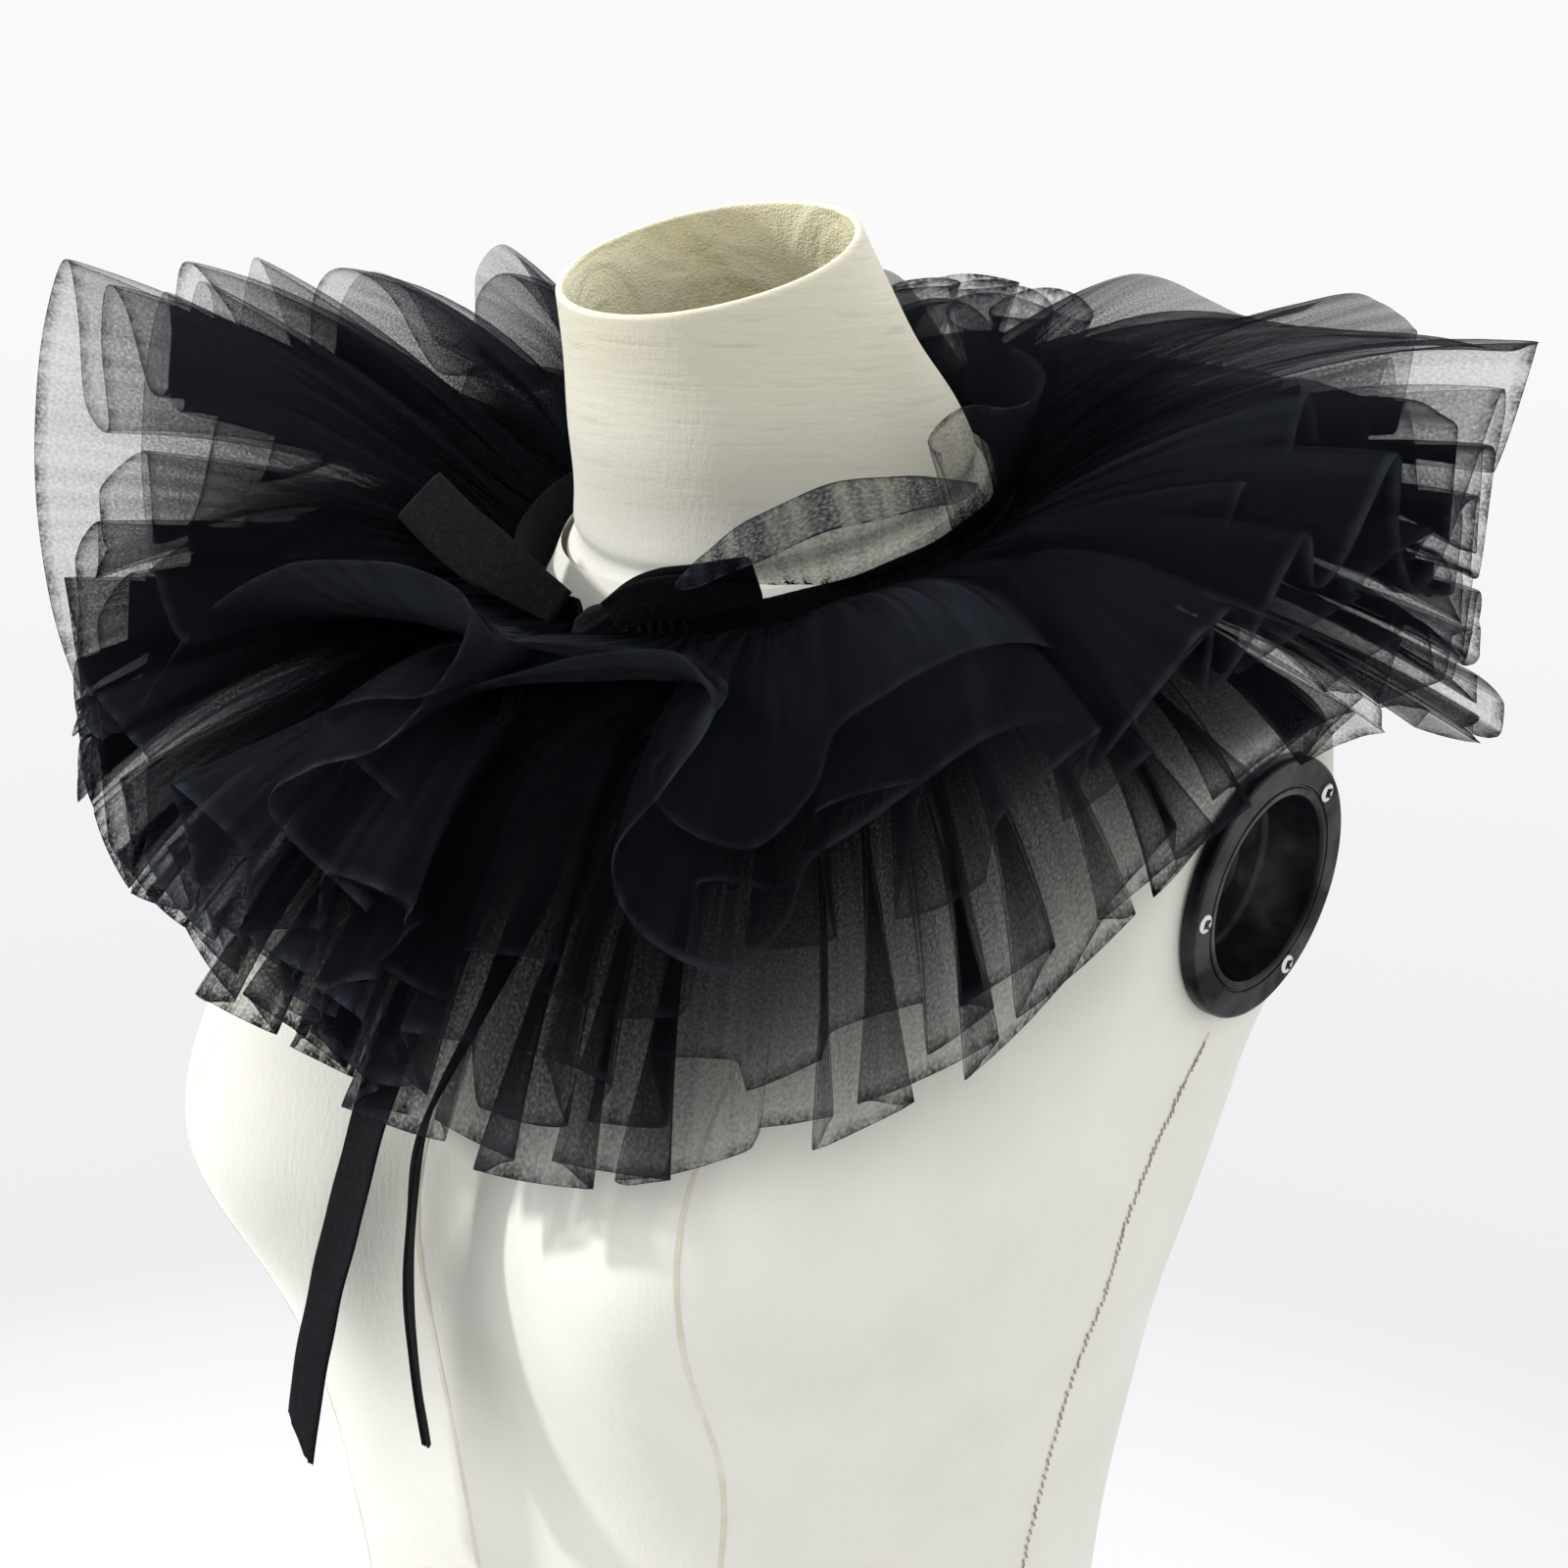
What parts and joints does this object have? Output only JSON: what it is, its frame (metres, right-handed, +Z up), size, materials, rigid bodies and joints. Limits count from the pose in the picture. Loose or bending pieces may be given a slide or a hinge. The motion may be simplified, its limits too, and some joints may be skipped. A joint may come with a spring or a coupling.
{
  "type": "tulle ruffle collar on a limbless dress form",
  "caption": "Detachable black tulle ruffle collar in gathered tiers on a jersey band tied in a bow at the front, worn on a smooth cream dress form with an open neck and arm socket plates.",
  "frame": {"origin": "centre of the form's flat base", "axes": "+Z up along the form, -Y to the front, +X to the wearer's left"},
  "size_m": [0.4833, 0.4283, 0.6475],
  "materials": {
    "jersey": "cream cotton jersey stretched over the form",
    "plate": "black moulded plastic with small screws",
    "band": "black cotton jersey strip, matt",
    "tulle": "black fine nylon tulle, semi-sheer, slight sheen"
  },
  "bodies": {
    "root": {"form_torso": "jersey", "form_neck": "jersey", "arm_plate_left": "plate", "arm_plate_right": "plate", "tie_band": "band", "bow_knot": "band", "bow_loop_right": "band", "bow_loop_left": "band", "bow_tail_right": "band", "bow_tail_left": "band", "tulle_tier_1_chest": "tulle", "tulle_tier_2": "tulle", "tulle_tier_3": "tulle", "tulle_tier_4_top": "tulle", "heading_frill": "tulle"}
  },
  "joints": []
}
